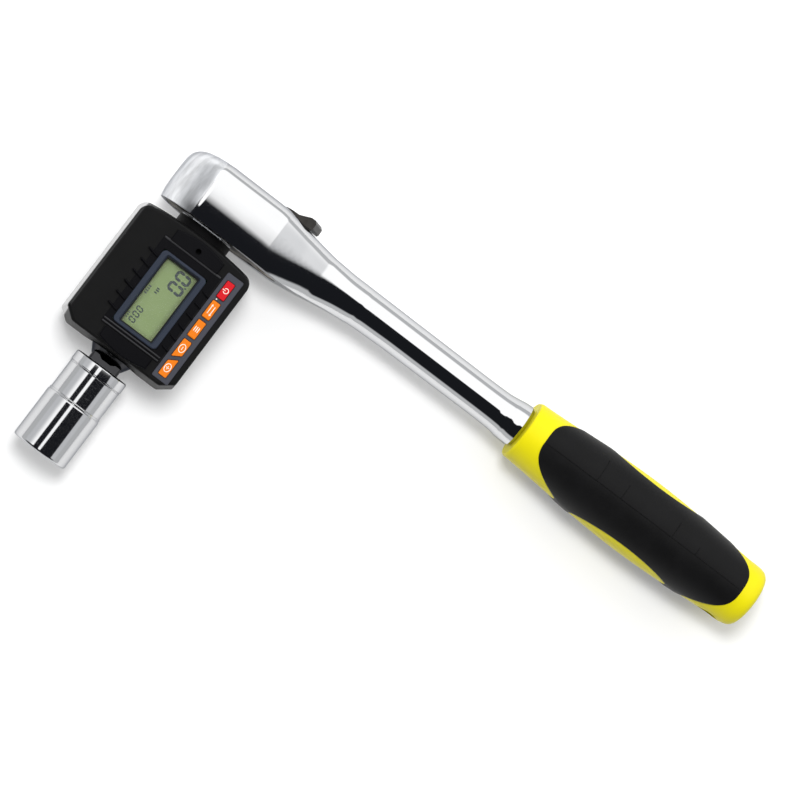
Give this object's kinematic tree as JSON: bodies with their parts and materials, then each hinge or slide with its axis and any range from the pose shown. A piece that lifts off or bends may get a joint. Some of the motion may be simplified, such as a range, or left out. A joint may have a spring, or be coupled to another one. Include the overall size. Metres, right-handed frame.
{
  "type": "digital torque wrench",
  "caption": "Ratchet handle with a digital torque adapter on its square drive and a hex socket on the adapter.",
  "frame": {"origin": "centre of the hex socket's mouth, on the drive axis", "axes": "+X along the handle towards the grip's end, -Y towards the fastener, +Z out of the display side"},
  "size_m": [0.2706, 0.1286, 0.0409],
  "materials": {
    "chrome_forging": "mirror chrome over forged steel, brushed on the round end",
    "plate_steel": "plain stamped steel with a warm tint",
    "screw_steel": "black-grey plated screws",
    "grip_yellow": "satin moulded plastic",
    "grip_rubber": "soft black overmould",
    "hard_steel": "ground steel",
    "lever_black": "dark grey moulded lever",
    "seal_rubber": "black rubber",
    "spring_steel": "drawn wire",
    "chrome_drive": "chrome on machined steel",
    "bronze": "sintered bronze or brass",
    "casing_black": "satin black moulding",
    "collar_black": "black moulded ring",
    "gauge_foil": "polyimide foil gauge",
    "wire_red": "insulated wire",
    "board_green": "solder mask",
    "chip_black": "moulded component",
    "lcd_green": "reflective liquid crystal cell",
    "window_clear": "clear window",
    "bezel_slate": "slate blue frame",
    "keypad_grey": "grey key panel",
    "key_red": "red key",
    "key_orange": "orange key",
    "battery_wrap": "plain cell wrap",
    "socket_chrome": "bright chrome"
  },
  "bodies": {
    "handle": {"ratchet_body": "chrome_forging", "cover_plate": "plate_steel", "plate_screws": "screw_steel", "grip_core": "grip_yellow", "grip_pad": "grip_rubber", "pawl_pin": "hard_steel", "thrust_washer": "bronze"},
    "pawl": {"pawl": "hard_steel"},
    "lever": {"reverse_lever": "lever_black", "lever_spindle": "hard_steel", "spindle_ring": "seal_rubber", "pawl_plunger": "hard_steel", "plunger_spring": "spring_steel"},
    "drive": {"drive_gear": "chrome_drive", "drive_ball_spring": "spring_steel"},
    "drive_ball": {"drive_ball": "hard_steel"},
    "adapter": {"front_shell": "casing_black", "rear_shell": "casing_black", "torsion_shaft": "chrome_drive", "input_collar": "collar_black", "output_bush": "bronze", "output_seal": "seal_rubber", "strain_gauges": "gauge_foil", "gauge_leads": "wire_red", "circuit_board": "board_green", "board_screws": "screw_steel", "board_chips": "chip_black", "lcd_cell": "lcd_green", "contact_strips": "seal_rubber", "lcd_window": "window_clear", "lcd_bezel": "bezel_slate", "keypad_bezel": "keypad_grey", "key_switches": "chip_black", "buzzer": "chip_black", "batteries": "battery_wrap", "battery_contacts": "bronze", "battery_door": "casing_black", "door_screw": "screw_steel", "case_screws": "screw_steel", "adapter_ball_spring": "spring_steel"},
    "adapter_ball": {"adapter_ball": "hard_steel"},
    "socket": {"hex_socket": "socket_chrome"},
    "power_key": {"power_key": "key_red"},
    "unit_key": {"unit_key": "key_orange"},
    "mode_key": {"mode_key": "key_orange"},
    "minus_key": {"minus_key": "key_orange"},
    "plus_key": {"plus_key": "key_orange"}
  },
  "joints": [
    {"name": "lever_swing", "type": "hinge", "parent": "handle", "child": "lever", "pos_m": [0.0246, 0.1245, 0], "axis": [0, 1, 0], "range_deg": [0, 48]},
    {"name": "pawl_tilt", "type": "hinge", "parent": "handle", "child": "pawl", "pos_m": [0.0174, 0.1095, 0], "axis": [0, 1, 0], "range_deg": [-14.4, 0]},
    {"name": "drive_spin", "type": "hinge", "parent": "handle", "child": "drive", "pos_m": [0, 0.1015, 0], "axis": [0, 1, 0], "continuous": true},
    {"name": "drive_ball_press", "type": "slide", "parent": "drive", "child": "drive_ball", "axis": [1, 0, 0], "range_m": [-0.0005, 0], "stiffness_N_per_m": 1000, "springref_m": 0.0005, "deforming": ["drive_ball_spring"]},
    {"name": "adapter_slide", "type": "slide", "parent": "drive", "child": "adapter", "axis": [0, -1, 0], "range_m": [0, 0.02]},
    {"name": "adapter_ball_press", "type": "slide", "parent": "adapter", "child": "adapter_ball", "axis": [1, 0, 0], "range_m": [-0.0005, 0], "stiffness_N_per_m": 1000, "springref_m": 0.0005, "deforming": ["adapter_ball_spring"]},
    {"name": "socket_slide", "type": "slide", "parent": "adapter", "child": "socket", "axis": [0, -1, 0], "range_m": [0, 0.02]},
    {"name": "power_press", "type": "slide", "parent": "adapter", "child": "power_key", "axis": [0, 0, -1], "range_m": [0, 0.0005], "stiffness_N_per_m": 400, "springref_m": -0.0005},
    {"name": "unit_press", "type": "slide", "parent": "adapter", "child": "unit_key", "axis": [0, 0, -1], "range_m": [0, 0.0005], "stiffness_N_per_m": 400, "springref_m": -0.0005},
    {"name": "mode_press", "type": "slide", "parent": "adapter", "child": "mode_key", "axis": [0, 0, -1], "range_m": [0, 0.0005], "stiffness_N_per_m": 400, "springref_m": -0.0005},
    {"name": "minus_press", "type": "slide", "parent": "adapter", "child": "minus_key", "axis": [0, 0, -1], "range_m": [0, 0.0005], "stiffness_N_per_m": 400, "springref_m": -0.0005},
    {"name": "plus_press", "type": "slide", "parent": "adapter", "child": "plus_key", "axis": [0, 0, -1], "range_m": [0, 0.0005], "stiffness_N_per_m": 400, "springref_m": -0.0005}
  ],
  "couplings": [
    {"joint": "pawl_tilt", "follows": "lever_swing", "ratio": -0.3}
  ]
}
